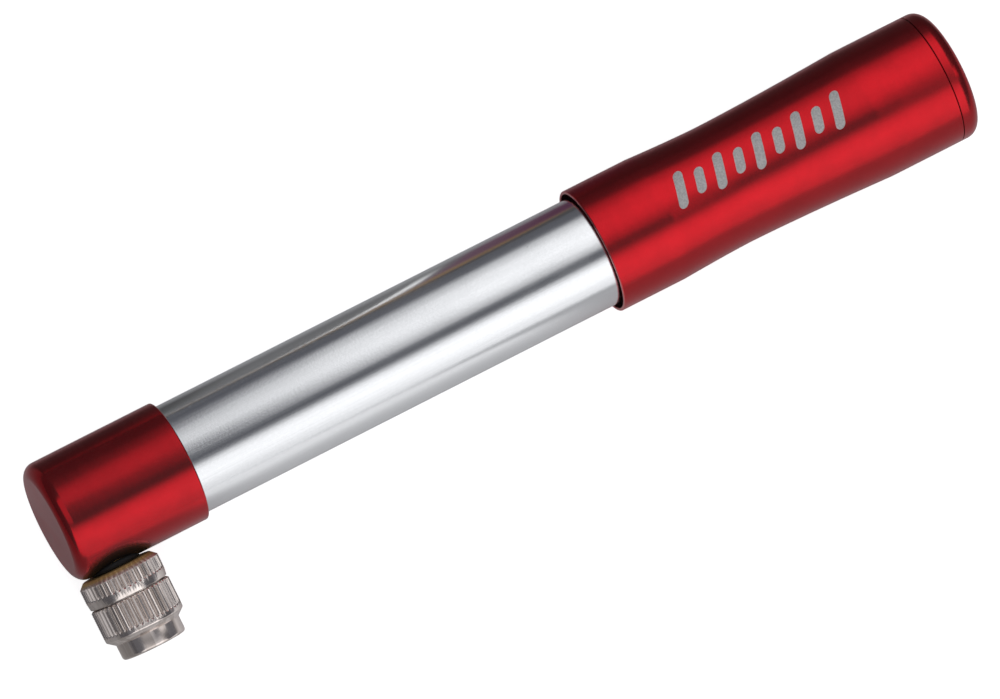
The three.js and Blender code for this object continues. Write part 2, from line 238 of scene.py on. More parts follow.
def new_piece(name):
    """Name the object that was just added and settle its place into its mesh."""
    piece = bpy.context.object
    piece.name = name
    piece.data.name = name
    bpy.ops.object.transform_apply(location=True, rotation=True, scale=True)
    return piece


def pick(piece, wanted, kind="EDGE"):
    """Select what has all its points wanted, in edit mode."""
    bpy.ops.mesh.select_mode(type=kind)
    bpy.ops.mesh.select_all(action="DESELECT")
    mesh = bmesh.from_edit_mesh(piece.data)
    parts = {"VERT": mesh.verts, "EDGE": mesh.edges, "FACE": mesh.faces}[kind]
    for part in parts:
        points = [part.co] if kind == "VERT" else [v.co for v in part.verts]
        if all(wanted(point) for point in points):
            part.select_set(True)
    bmesh.update_edit_mesh(piece.data)


def on_ring(station, radius):
    """A test for points on the ring at a station along +X."""

    def wanted(point):
        reach = math.hypot(point.y, point.z)
        return abs(point.x - station) < NEAR and abs(reach - radius) < NEAR

    return wanted


def round_ring(piece, station, radius, rounding):
    """Round the sharp ring of edges at a station."""
    pick(piece, on_ring(station, radius))
    segments = min(12, max(3, round(rounding / (0.18 * MM))))
    bpy.ops.mesh.bevel(offset=rounding, offset_type="OFFSET", segments=segments, affect="EDGES")


def turn(name, outline, sides=FINE_SIDES, capped=False):
    """Turn a piece about +X. The first ring is raised from station to station and then its edges are rounded.

    The outline holds (station, radius) or (station, radius, rounding). A capped piece is closed by a disc
    at each end, and any other closes on its first ring.
    """
    start_clean()
    station, radius = outline[0][:2]
    bpy.ops.mesh.primitive_circle_add(
        vertices=sides,
        radius=radius,
        fill_type="NGON" if capped else "NOTHING",
        location=(station, 0, 0),
        rotation=(0, math.pi / 2, 0),
    )
    piece = new_piece(name)
    bpy.ops.object.mode_set(mode="EDIT")
    bpy.ops.mesh.select_mode(type="EDGE")
    bpy.ops.mesh.select_all(action="SELECT")
    rings = outline[1:] if capped else outline[1:] + outline[:1]
    for next_station, next_radius in (ring[:2] for ring in rings):
        move = (next_station - station, 0, 0)
        bpy.ops.mesh.extrude_region_move(TRANSFORM_OT_translate={"value": move, "orient_type": "GLOBAL"})
        if abs(next_radius - radius) > NEAR / 10:
            grow = next_radius / radius
            centre = (next_station, 0, 0)
            bpy.ops.transform.resize(value=(1, grow, grow), center_override=centre)
        station, radius = next_station, next_radius
    bpy.ops.mesh.select_all(action="SELECT")
    bpy.ops.mesh.remove_doubles(threshold=NEAR)
    bpy.ops.mesh.normals_make_consistent(inside=False)
    for ring in outline:
        if len(ring) == 3:
            round_ring(piece, *ring)
    bpy.ops.object.mode_set(mode="OBJECT")
    return piece


def apply_modifier(piece, name, kind, **settings):
    """Add a modifier with its settings and apply it."""
    take_up(piece)
    modifier = piece.modifiers.new(name, kind)
    for key, value in settings.items():
        setattr(modifier, key, value)
    bpy.ops.object.modifier_apply(modifier=name)


def cut(piece, cutter):
    """Cut one solid out of another and clear the cutter away."""
    apply_modifier(piece, "Cut", "BOOLEAN", object=cutter, operation="DIFFERENCE", solver="EXACT")
    bpy.data.objects.remove(cutter)


def shift(piece, move):
    """Move all of a piece's mesh."""
    take_up(piece)
    bpy.ops.transform.translate(value=move)
    bpy.ops.object.transform_apply(location=True, rotation=True, scale=True)


def copies_round(piece, count):
    """Repeat a cutter evenly about +X, all within its own mesh."""
    take_up(piece)
    bpy.ops.object.mode_set(mode="EDIT")
    bpy.ops.mesh.select_all(action="SELECT")
    for _ in range(count - 1):
        bpy.ops.mesh.duplicate_move()
        bpy.ops.transform.rotate(value=2 * math.pi / count, orient_axis="X", center_override=(0, 0, 0))
    bpy.ops.object.mode_set(mode="OBJECT")
    return piece


def flute(piece, stations, radius, sizes):
    """Press the grooves of a straight knurl into the rings at the given stations.

    Each station has a share of the full depth, so a groove can fade out. From one ridge to the next there
    are eight columns of points, and a column goes deeper the further it is from both ridges.
    """
    depths = {2: 0.3, 3: 0.85, 4: 1.0}  # by the number of columns from the nearest ridge
    take_up(piece)
    bpy.ops.object.mode_set(mode="EDIT")
    for station, share in stations:
        for away, depth in depths.items():

            def in_column(point, station=station, away=away):
                turned = math.atan2(point.z, point.y) / (2 * math.pi)
                column = round(turned * sizes.teeth * COLUMNS) % COLUMNS
                return min(column, COLUMNS - column) == away and on_ring(station, radius)(point)

            pick(piece, in_column, kind="VERT")
            shrink = (radius - sizes.flute * share * depth) / radius
            bpy.ops.transform.resize(value=(1, shrink, shrink), center_override=(station, 0, 0))
    bpy.ops.object.mode_set(mode="OBJECT")


def chuck_place():
    """The frame of the chuck: +X along its axis, with its origin on the pump's centreline."""
    joint = next(j for j in frame["joints"] if j["name"] == "cap_turn")
    axis = Vector(joint["axis"]).normalized()
    point = Vector(joint["pos_m"])
    origin = point - axis * (point.y / axis.y)
    along = Vector((1, 0, 0))
    return Matrix.Translation(origin) @ Matrix((axis, along, axis.cross(along))).transposed().to_4x4()


def to_chuck(piece):
    """Move a piece that was turned about +X onto the chuck's axis."""
    take_up(piece)
    piece.matrix_world = chuck_place()
    bpy.ops.object.transform_apply(location=True, rotation=True, scale=True)
    return piece


def settle(piece, body, slot, finish, *nodes):
    """Shade a finished piece, give it its material, and fix it to its body in place of its frame nodes."""
    take_up(piece)
    bpy.ops.object.shade_smooth_by_angle(angle=math.radians(32))
    apply_modifier(piece, "Even", "WEIGHTED_NORMAL", keep_sharp=True, weight=50)
    piece.data.materials.clear()
    piece.data.materials.append(finish)
    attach(piece, body)
    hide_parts(*nodes)


# ---------------------------------------------------------------- material building blocks


class Wires:
    """Places nodes in a tree and wires them. A socket or a plain value can feed any input.

    The spread rises softly from one value to another between two limits, the band is one between its inner
    limits and nothing outside its outer ones, and the length is that of two sides at right angles.
    """

    def __init__(self, tree):
        self.tree = tree

    def add(self, kind, values=None, **settings):
        made = self.tree.nodes.new(kind)
        for key, value in settings.items():
            setattr(made, key, value)
        for key, value in (values or {}).items():
            self.feed(made.inputs[key], value)
        return made

    def feed(self, socket, value):
        if isinstance(value, bpy.types.NodeSocket):
            self.tree.links.new(value, socket)
        else:
            socket.default_value = value

    def calc(self, operation, *values):
        made = self.add("ShaderNodeMath", operation=operation)
        for socket, value in zip(made.inputs, values):
            self.feed(socket, value)
        return made.outputs[0]

    def parts(self, vector):
        return self.add("ShaderNodeSeparateXYZ", {0: vector}).outputs

    def length(self, first, second):
        squares = [self.calc("POWER", value, 2.0) for value in (first, second)]
        return self.calc("SQRT", self.calc("ADD", *squares))

    def noise(self, vector, scale, detail=2.0, roughness=0.5):
        values = {"Vector": vector, "Scale": scale, "Detail": detail, "Roughness": roughness}
        return self.add("ShaderNodeTexNoise", values).outputs["Fac"]

    def spread(self, value, low, high, to_low=0.0, to_high=1.0):
        values = {"Value": value, "From Min": low, "From Max": high, "To Min": to_low, "To Max": to_high}
        made = self.add("ShaderNodeMapRange", values, interpolation_type="SMOOTHSTEP")
        return made.outputs["Result"]

    def band(self, value, start, full, ebb, end):
        rise = self.spread(value, start, full)
        return self.calc("MULTIPLY", rise, self.spread(value, ebb, end, 1.0, 0.0))

    def mix(self, share, first, second):
        made = self.add("ShaderNodeMix", data_type="RGBA")
        for name, value in (("Factor_Float", share), ("A_Color", first), ("B_Color", second)):
            socket = next(s for s in made.inputs if s.identifier == name)
            self.feed(socket, value)
        return next(s for s in made.outputs if s.identifier == "Result_Color")


def effect(name, inputs, outputs, build):
    """A node group for an effect that several finishes share. It is built once."""
    tree = bpy.data.node_groups.get(name)
    if tree:
        return tree
    tree = bpy.data.node_groups.new(name, "ShaderNodeTree")
    for label, kind, default in inputs:
        socket = tree.interface.new_socket(name=label, in_out="INPUT", socket_type=kind)
        if default is not None:
            socket.default_value = default
    for label in outputs:
        tree.interface.new_socket(name=label, in_out="OUTPUT", socket_type="NodeSocketFloat")
    wires = Wires(tree)
    start = wires.add("NodeGroupInput")
    results = build(wires, start.outputs)
    end = wires.add("NodeGroupOutput")
    for label, result in zip(outputs, results):
        wires.feed(end.inputs[label], result)
    return tree


VECTOR, FLOAT = "NodeSocketVector", "NodeSocketFloat"


def use(wires, tree, **values):
    """Place an effect in a material with its own values."""
    made = wires.add("ShaderNodeGroup", node_tree=tree)
    for key, value in values.items():
        wires.feed(made.inputs[key.replace("_", " ").capitalize()], value)
    return made.outputs


def stretched(wires, vector, along, across):
    """A vector scaled along the piece's axis and across it."""
    made = wires.add("ShaderNodeVectorMath", operation="MULTIPLY")
    wires.feed(made.inputs[0], vector)
    made.inputs[1].default_value = (along, across, across)
    return made.outputs[0]


def turning_marks():
    """Faint rings that a lathe tool leaves round the axis."""

    def build(wires, given):
        fine = wires.noise(stretched(wires, given["Vector"], 9000, 60), 1.0, 3.0, 0.6)
        broad = wires.noise(stretched(wires, given["Vector"], 1500, 25), 1.0, 2.0)
        both = wires.calc("MULTIPLY_ADD", fine, 0.7, wires.calc("MULTIPLY", broad, 0.3))
        return [wires.spread(both, 0.3, 0.7)]

    return effect("turning marks", [("Vector", VECTOR, None)], ["Marks"], build)


def draw_lines():
    """Fine straight lines that drawing and polishing leave along the axis."""

    def build(wires, given):
        hair = wires.noise(stretched(wires, given["Vector"], 18, 5200), 1.0, 3.0, 0.65)
        streak = wires.noise(stretched(wires, given["Vector"], 8, 1100), 1.0, 2.0)
        both = wires.calc("MULTIPLY_ADD", hair, 0.65, wires.calc("MULTIPLY", streak, 0.35))
        return [wires.spread(both, 0.32, 0.68)]

    return effect("draw lines", [("Vector", VECTOR, None)], ["Lines"], build)


def fine_grain():
    """An even, fine grain as blasting or moulding leaves it, with a slower mottle."""

    def build(wires, given):
        grain = wires.noise(given["Vector"], given["Scale"], 3.0, 0.6)
        mottle = wires.noise(given["Vector"], wires.calc("MULTIPLY", given["Scale"], 0.08), 2.0)
        return [wires.spread(grain, 0.3, 0.7), wires.spread(mottle, 0.3, 0.7)]

    inputs = [("Vector", VECTOR, None), ("Scale", FLOAT, 3200.0)]
    return effect("fine grain", inputs, ["Grain", "Mottle"], build)


def edge_wear_and_rim_highlight():
    """A broken line of wear at two stations along the axis, which on the red rims is also a painted
    highlight.
    """

    def build(wires, given):
        along = wires.parts(given["Vector"])[0]
        breakup = wires.noise(given["Vector"], 900.0, 3.0, 0.6)
        reach = wires.calc("MULTIPLY", given["Width"], wires.calc("ADD", breakup, 0.5))
        masks = []
        for name in ("First", "Second"):
            off = wires.calc("ABSOLUTE", wires.calc("SUBTRACT", along, given[name]))
            share = wires.calc("DIVIDE", off, reach)
            masks.append(wires.spread(share, 0.4, 1.0, 1.0, 0.0))
        return [wires.calc("MAXIMUM", *masks)]

    inputs = [("Vector", VECTOR, None)] + [(name, FLOAT, 0.0) for name in ("First", "Second", "Width")]
    return effect("edge wear and rim highlight", inputs, ["Wear"], build)


def handling():
    """Soft smears and small specks that handling leaves on a shiny surface."""

    def build(wires, given):
        smear = wires.noise(stretched(wires, given["Vector"], 45, 120), 1.0, 4.0, 0.62)
        cells = wires.add("ShaderNodeTexVoronoi", {"Vector": given["Vector"], "Scale": 190.0})
        chosen = wires.add("ShaderNodeSeparateColor", {"Color": cells.outputs["Color"]}).outputs[0]
        dot = wires.spread(cells.outputs["Distance"], 0.0, 0.05, 1.0, 0.0)
        speck = wires.calc("MULTIPLY", dot, wires.calc("GREATER_THAN", chosen, 0.7))
        return [wires.spread(smear, 0.42, 0.68), speck]

    return effect("handling", [("Vector", VECTOR, None)], ["Smear", "Speck"], build)


def etched_bars():
    """A row of slanted bars with round ends, long and short in turn, round the axis from a given angle."""

    def build(wires, given):
        along, back, up = wires.parts(given["Vector"])
        turned = wires.calc("SUBTRACT", wires.calc("ARCTAN2", back, up), given["Turn"])
        height = wires.calc("MULTIPLY", turned, given["Radius"])
        from_start = wires.calc("SUBTRACT", along, given["Start"])
        slanted = wires.calc("MULTIPLY_ADD", height, given["Slant"], from_start)
        cells = wires.calc("DIVIDE", slanted, given["Pitch"])
        cell = wires.calc("FLOOR", cells)
        off_middle = wires.calc("SUBTRACT", wires.calc("FRACT", cells), 0.5)
        side = wires.calc("MULTIPLY", off_middle, given["Pitch"])
        short = wires.calc("MODULO", cell, 2.0)
        reach = wires.calc("MULTIPLY", given["Height"], wires.calc("MULTIPLY_ADD", short, -0.42, 1.0))
        past = wires.calc("MAXIMUM", wires.calc("SUBTRACT", wires.calc("ABSOLUTE", height), reach), 0.0)
        over = wires.calc("SUBTRACT", wires.length(side, past), given["Bar"])
        soft = 0.04 * MM
        bar = wires.spread(over, -soft, soft, 1.0, 0.0)
        after = wires.calc("GREATER_THAN", cell, -0.5)
        before = wires.calc("LESS_THAN", cell, wires.calc("SUBTRACT", given["Count"], 0.5))
        return [wires.calc("MULTIPLY", bar, wires.calc("MULTIPLY", after, before))]

    names = ("Turn", "Radius", "Slant", "Start", "Pitch", "Height", "Bar", "Count")
    inputs = [("Vector", VECTOR, None)] + [(name, FLOAT, 0.0) for name in names]
    return effect("etched bars", inputs, ["Mark"], build)


# ---------------------------------------------------------------- finishes


def rgba(value, factor=1.0):
    """A property colour as a shader colour."""
    return tuple(channel * factor for channel in value) + (1.0,)


def material(name):
    """A new material with its wires, its shader and the object coordinates."""
    made = bpy.data.materials.new(name)
    made.use_nodes = True
    wires = Wires(made.node_tree)
    shader = made.node_tree.nodes["Principled BSDF"]
    place = wires.add("ShaderNodeTexCoord").outputs["Object"]
    return made, wires, shader, place


def bump(wires, shader, height, strength, depth):
    """A small relief in metres on a shader."""
    values = {"Height": height, "Strength": strength, "Distance": depth}
    relief = wires.add("ShaderNodeBump", values)
    wires.feed(shader.inputs["Normal"], relief.outputs["Normal"])


def from_chuck(wires, place):
    """Object coordinates seen from the chuck, the distance out along its axis, and that from the axis."""
    back = chuck_place().inverted()
    local = wires.add("ShaderNodeMapping", {"Vector": place}, vector_type="POINT")
    local.inputs["Location"].default_value = back.to_translation()
    local.inputs["Rotation"].default_value = back.to_euler()
    out, *sides = wires.parts(local.outputs[0])
    return local.outputs[0], out, wires.length(*sides)


def painted_shade_ring(wires, place, share):
    """Painted shade: a dark ring painted round the chuck's hole in the head's side, where the collar shades
    the head, and how much of it.
    """
    _, out, reach = from_chuck(wires, place)
    hole_edge, unshaded = 6.2 * MM, 9.5 * MM
    centreline, side = 0.0, 4 * MM
    end_face, rounded = 0.5 * MM, 2.6 * MM
    round_hole = wires.spread(reach, hole_edge, unshaded, share, 0.0)
    one_side = wires.calc("MULTIPLY", round_hole, wires.spread(out, centreline, side))
    return wires.calc("MULTIPLY", one_side, wires.spread(wires.parts(place)[0], end_face, rounded))


def red_anodised(name, rim=None, depth=1.0, rough=0.2, mark=None, hole_shade=0.0):
    """Red anodised aluminium over a fine blasted and turned surface, with a clear seal.

    It is thin on its rim, if a rim is given, and the lighter rim is also a painted highlight. The depth is
    the colour's, the mark is a row of etched bars, and the hole shade is the share of a painted shade, a dark
    ring round the chuck's hole.
    """
    tints = bpy.context.scene.pump_colours
    made, wires, shader, place = material(name)
    grain = use(wires, fine_grain(), vector=place, scale=3000.0)
    marks = use(wires, turning_marks(), vector=place)["Marks"]
    smear = use(wires, handling(), vector=place)["Smear"]
    deep = wires.mix(grain["Mottle"], rgba(tints.red, 0.94 * depth), rgba(tints.red, 1.05 * depth))
    tone = wires.mix(wires.calc("MULTIPLY", grain["Grain"], 0.3), deep, rgba(tints.red, 0.84 * depth))
    if rim is not None:
        # A lighter ring at the rim: thin anodising, and also a painted highlight on the rim's rounding.
        wear = use(wires, edge_wear_and_rim_highlight(), vector=place, first=rim, second=rim, width=0.2 * MM)["Wear"]
        tone = wires.mix(wires.calc("MULTIPLY", wear, 0.35), tone, rgba(tints.thin_red_and_highlight))
    rough = wires.calc("MULTIPLY_ADD", smear, 0.04, wires.calc("MULTIPLY_ADD", marks, 0.03, rough))
    shader.inputs["Coat Weight"].default_value = 0.5
    shader.inputs["Coat Roughness"].default_value = 0.5
    relief = wires.calc("MULTIPLY_ADD", marks, 0.45, wires.calc("MULTIPLY", grain["Grain"], 0.55))
    metal = 1.0
    if hole_shade:
        # painted shade: the red darkens towards black round the chuck's hole
        tone = wires.mix(painted_shade_ring(wires, place, hole_shade), tone, rgba(tints.black))
    if mark:
        bars = use(wires, etched_bars(), vector=place, **mark)["Mark"]
        frost = wires.mix(grain["Grain"], rgba(tints.etched, 0.86), rgba(tints.etched, 1.2))
        tone = wires.mix(bars, tone, frost)
        rough = wires.calc("MULTIPLY_ADD", bars, 0.3, rough)
        relief = wires.calc("MULTIPLY_ADD", bars, -0.8, relief)
        metal = wires.calc("MULTIPLY_ADD", bars, -0.45, 1.0)
    wires.feed(shader.inputs["Base Color"], tone)
    wires.feed(shader.inputs["Roughness"], rough)
    wires.feed(shader.inputs["Metallic"], metal)
    bump(wires, shader, relief, 0.35, FINE_RELIEF)
    return made


def polished_tube(name, first, second):
    """Polished drawn aluminium: hair lines along the tube, soft smears and a few specks."""
    tints = bpy.context.scene.pump_colours
    made, wires, shader, place = material(name)
    lines = use(wires, draw_lines(), vector=place)["Lines"]
    marks = use(wires, handling(), vector=place)
    wear = use(wires, edge_wear_and_rim_highlight(), vector=place, first=first, second=second, width=0.4 * MM)["Wear"]
    tone = wires.mix(lines, rgba(tints.silver, 0.93), rgba(tints.silver, 1.0))
    grain = use(wires, fine_grain(), vector=place, scale=2200.0)["Grain"]
    spotted = wires.mix(wires.calc("MULTIPLY", grain, 0.3), tone, rgba(tints.silver, 0.85))
    rough = wires.calc("MULTIPLY_ADD", lines, 0.04, wires.calc("MULTIPLY_ADD", marks["Smear"], 0.05, 0.13))
    worn = wires.mix(wires.calc("MULTIPLY", wear, 0.5), spotted, rgba(tints.silver))
    wires.feed(shader.inputs["Base Color"], worn)
    wires.feed(shader.inputs["Roughness"], rough)
    shader.inputs["Metallic"].default_value = 1.0
    fine = wires.calc("MULTIPLY_ADD", grain, 0.25, wires.calc("MULTIPLY", lines, 0.2))
    bump(wires, shader, wires.calc("MULTIPLY_ADD", marks["Speck"], 2.0, fine), 0.6, 0.01 * MM)
    return made


def knurl_ends(wires, out, groove):
    """Where the grooves of the two knurls run out, which is left rough by the tool."""
    soft = 0.1 * MM
    bands = []
    for start, end in ((14.9 * MM, 15.8 * MM), (17.2 * MM, 17.9 * MM), (21.9 * MM, 22.9 * MM)):
        bands.append(wires.band(out, start, start + soft, end, end + soft))
    any_band = wires.calc("MAXIMUM", bands[0], wires.calc("MAXIMUM", bands[1], bands[2]))
    return wires.calc("MULTIPLY", any_band, groove)


def nickel_plate(name):
    """Warm nickel plating over turned and knurled brass, dull in the grooves and bare beside the head."""
    tints = bpy.context.scene.pump_colours
    made, wires, shader, place = material(name)
    centred, out, reach = from_chuck(wires, place)
    marks = use(wires, turning_marks(), vector=centred)["Marks"]
    grain = use(wires, fine_grain(), vector=centred, scale=2600.0)
    smooth, cut_start, groove_floor, ridge = 7.15 * MM, 7.22 * MM, 7.26 * MM, 7.6 * MM
    bare, plated, neck_end, knurl_start = 12.2 * MM, 12.9 * MM, 12.8 * MM, 13.3 * MM
    groove = wires.spread(reach, groove_floor, ridge, 1.0, 0.0)
    knurled = wires.calc("MULTIPLY", groove, wires.spread(reach, smooth, cut_start))
    facing = wires.spread(out, bare, plated, 1.0, 0.0)
    neck = wires.spread(out, neck_end, knurl_start, 1.0, 0.0)
    ends = wires.calc("MAXIMUM", neck, knurl_ends(wires, out, groove))
    # Darker streaks along the chuck's axis, towards the tarnish colour: partly tarnish, partly painted
    # reflection bands on the plating.
    streak = wires.spread(wires.noise(stretched(wires, centred, 25, 560), 1.0, 2.0), 0.46, 0.56)
    tone = wires.mix(grain["Mottle"], rgba(tints.nickel, 0.92), rgba(tints.nickel, 1.04))
    reflection_streaked = wires.mix(wires.calc("MULTIPLY", streak, 0.4), tone, rgba(tints.tarnish, 1.2))
    dulled = wires.mix(wires.calc("MULTIPLY", knurled, 0.22), reflection_streaked, rgba(tints.tarnish))
    rough = wires.calc("MULTIPLY_ADD", ends, 0.35, wires.calc("MULTIPLY_ADD", marks, 0.06, 0.17))
    wires.feed(shader.inputs["Base Color"], wires.mix(facing, dulled, rgba(tints.brass)))
    wires.feed(shader.inputs["Roughness"], rough)
    wires.feed(shader.inputs["Metallic"], wires.calc("MULTIPLY_ADD", facing, -0.5, 1.0))
    bump(wires, shader, wires.calc("MULTIPLY_ADD", marks, 0.5, grain["Grain"]), 0.3, FINE_RELIEF)
    return made


def plain_metal(name, tint, rough):
    """Turned metal inside the pump: brass, steel or ground aluminium."""
    made, wires, shader, place = material(name)
    marks = use(wires, turning_marks(), vector=place)["Marks"]
    grain = use(wires, fine_grain(), vector=place, scale=2400.0)
    wires.feed(shader.inputs["Base Color"], wires.mix(marks, rgba(tint, 0.85), rgba(tint, 1.05)))
    wires.feed(shader.inputs["Roughness"], wires.calc("MULTIPLY_ADD", grain["Mottle"], 0.1, rough))
    shader.inputs["Metallic"].default_value = 1.0
    bump(wires, shader, wires.calc("MULTIPLY_ADD", marks, 0.6, grain["Grain"]), 0.3, FINE_RELIEF)
    return made


def moulded(name, tint, rough, scale, depth):
    """Moulded plastic or rubber with a fine grain and a slow change of gloss."""
    made, wires, shader, place = material(name)
    grain = use(wires, fine_grain(), vector=place, scale=scale)
    smear = use(wires, handling(), vector=place)["Smear"]
    wires.feed(shader.inputs["Base Color"], wires.mix(grain["Mottle"], rgba(tint, 0.85), rgba(tint, 1.25)))
    wires.feed(shader.inputs["Roughness"], wires.calc("MULTIPLY_ADD", smear, 0.12, rough))
    bump(wires, shader, grain["Grain"], 0.4, depth)
    return made


def pressed_felt(name):
    """Oiled felt: crossed short fibres."""
    tint = bpy.context.scene.pump_colours.felt
    made, wires, shader, place = material(name)
    one_way = wires.noise(stretched(wires, place, 900, 5000), 1.0, 3.0)
    other_way = wires.noise(stretched(wires, place, 5000, 900), 1.0, 3.0)
    fibres = wires.spread(wires.calc("MULTIPLY", one_way, other_way), 0.16, 0.36)
    wires.feed(shader.inputs["Base Color"], wires.mix(fibres, rgba(tint, 0.6), rgba(tint, 1.3)))
    shader.inputs["Roughness"].default_value = 0.95
    bump(wires, shader, fibres, 0.8, 0.08 * MM)
    return made


def settle_shared(piece, body, finish, node):
    """Settle a piece in a finish that several pieces share, which is made the first time it is asked for."""
    tints = bpy.context.scene.pump_colours
    slot, make, *settings = {
        "nickel plate": ("nickel_plate", nickel_plate),
        "bare brass": ("brass", plain_metal, tints.brass, 0.3),
        "zinc steel": ("steel", plain_metal, tints.steel, 0.32),
        "ground aluminium": ("rod_aluminium", plain_metal, tints.silver, 0.24),
        "black acetal": ("black_acetal", moulded, tints.black, 0.42, 2600.0, 0.01 * MM),
        "grey nylon": ("grey_nylon", moulded, tints.grey, 0.5, 2600.0, 0.01 * MM),
        "black rubber": ("black_rubber", moulded, tints.black, 0.68, 1900.0, 0.02 * MM),
        "oiled felt": ("felt", pressed_felt),
    }[finish]
    made = bpy.data.materials.get(finish) or make(finish, *settings)
    settle(piece, body, slot, made, node)


def span(node):
    """Where a node of the frame starts and ends along the pump, and its radius."""
    low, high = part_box(node)
    return low.x, high.x, high.z


# ---------------------------------------------------------------- head and barrel


class PUMP_OT_head(bpy.types.Operator):
    """Turn the closed head with its barrel socket and cut the side hole for the chuck"""

    bl_idname = "pump.head"
    bl_label = "Head"

    def execute(self, context):
        sizes = context.scene.pump_head
        start, end, radius = span("head_shell")
        socket = span("barrel")[2] + sizes.socket_fit
        outline = [
            (start, radius, sizes.corner),
            (end, radius, sizes.rim_round),
            (end, socket, 0.1 * MM),
            (sizes.socket_floor, socket),
        ]
        head = turn("head_body", outline, capped=True)
        bore = turn(
            "stem_bore",
            [(-sizes.stem_hole_depth, sizes.stem_hole), (1.5 * radius, sizes.stem_hole)],
            SMALL_SIDES,
            capped=True,
        )
        cut(head, to_chuck(bore))
        # The head carries a painted shade round the chuck's hole.
        finish = red_anodised("red anodised head", end, 0.9, 0.15, hole_shade=0.9)
        settle(head, "pump_body", "red_anodised", finish, "head_shell")
        return {"FINISHED"}


class PUMP_OT_barrel(bpy.types.Operator):
    """Turn the polished barrel as one plain tube"""

    bl_idname = "pump.barrel"
    bl_label = "Barrel"

    def execute(self, context):
        sizes = context.scene.pump_head
        start, end, radius = span("barrel")
        outline = [
            (start, radius - sizes.barrel_wall),
            (start, radius, sizes.barrel_round),
            (end, radius, sizes.barrel_round),
            (end, radius - sizes.barrel_wall),
        ]
        tube = turn("barrel_tube", outline)
        settle(tube, "pump_body", "polished_aluminium", polished_tube("polished tube", start, end), "barrel")
        return {"FINISHED"}


class PUMP_OT_guide_bush(bpy.types.Operator):
    """Turn the guide bush with its air vents and the felt wiper round the rod"""

    bl_idname = "pump.guide_bush"
    bl_label = "Guide bush and wiper"

    def execute(self, context):
        start, end, flange = span("guide_bush")
        radius = 9.42 * MM
        hole = 4.1 * MM
        flange_start = span("barrel")[1] + 0.1 * MM
        wiper_start, wiper_end, wiper_radius = span("rod_wiper")
        pocket = wiper_radius + 0.1 * MM
        pocket_floor = wiper_start - 0.1 * MM
        outline = [
            (start, hole, 0.3 * MM),
            (start, radius, 0.5 * MM),
            (flange_start, radius),
            (flange_start, flange, 0.15 * MM),
            (end, flange, 0.4 * MM),
            (end, pocket, 0.2 * MM),
            (pocket_floor, pocket),
            (pocket_floor, hole),
        ]
        bush = turn("rod_guide", outline)
        vent_radius, vent_circle, vents = 0.9 * MM, 7.2 * MM, 4
        outline = [(start - MM, vent_radius), (end + MM, vent_radius)]
        vent = turn("vent", outline, HOLE_SIDES, capped=True)
        shift(vent, (0, 0, vent_circle))
        cut(bush, copies_round(vent, vents))
        settle_shared(bush, "pump_body", "black acetal", "guide_bush")
        wiper_outline = [
            (wiper_start, 4.05 * MM, 0.2 * MM),
            (wiper_start, wiper_radius, 0.2 * MM),
            (wiper_end, wiper_radius, 0.3 * MM),
            (wiper_end, 4.05 * MM, 0.5 * MM),
        ]
        wiper = turn("felt_wiper", wiper_outline, SMALL_SIDES)
        settle_shared(wiper, "pump_body", "oiled felt", "rod_wiper")
        return {"FINISHED"}


# ---------------------------------------------------------------- plain rings and seals


def ring_outline(start, end, inner, outer, edge):
    """The outline of a plain ring with all its edges rounded."""
    return [(start, inner, edge), (start, outer, edge), (end, outer, edge), (end, inner, edge)]


def plain_ring(name, node, inner, edge, sides=SMALL_SIDES):
    """A ring with rounded edges that fills a node's length and radius."""
    start, end, radius = span(node)
    return turn(name, ring_outline(start, end, inner, radius, edge), sides)


def o_ring(name, centre, circle, section):
    """An O-ring about +X with the thin parting line of its mould round the outside."""
    start_clean()
    bpy.ops.mesh.primitive_torus_add(
        location=(centre, 0, 0),
        rotation=(0, math.pi / 2, 0),
        major_radius=circle,
        minor_radius=section,
        major_segments=SMALL_SIDES * 2,
        minor_segments=24,
    )
    piece = new_piece(name)
    bpy.ops.object.mode_set(mode="EDIT")
    pick(piece, on_ring(centre, circle + section))
    line_width, line_height = 0.05 * MM, 0.02 * MM
    bpy.ops.mesh.bevel(offset=line_width, segments=2, affect="EDGES")
    pick(piece, on_ring(centre, circle + section))
    grow = 1 + line_height / (circle + section)
    bpy.ops.transform.resize(value=(1, grow, grow), center_override=(centre, 0, 0))
    bpy.ops.object.mode_set(mode="OBJECT")
    return piece


class PUMP_OT_seals(bpy.types.Operator):
    """Make the O-rings of the piston and the stem and the gasket under the barrel"""

    bl_idname = "pump.seals"
    bl_label = "Seals"

    def execute(self, context):
        start, end, radius = span("piston_o_ring")
        section = (end - start) / 2
        ring = o_ring("piston_seal_ring", (start + end) / 2, radius - section, section)
        settle_shared(ring, "piston_ring", "black rubber", "piston_o_ring")
        # The stem's O-ring sits right under the collar: a real seal, and also a dark ring put in the gap that
        # stands in for the shade between the collar and the head.
        centre, circle, section = 11.2 * MM, 4.25 * MM, 0.6 * MM
        stem_ring = to_chuck(o_ring("stem_seal_and_shade_ring", centre, circle, section))
        settle_shared(stem_ring, "pump_body", "black rubber", "stem_o_ring")
        gasket = plain_ring("socket_gasket", "barrel_gasket", 7.5 * MM, 0.15 * MM, SMALL_SIDES * 2)
        settle_shared(gasket, "pump_body", "black rubber", "barrel_gasket")
        return {"FINISHED"}


# ---------------------------------------------------------------- piston and rod


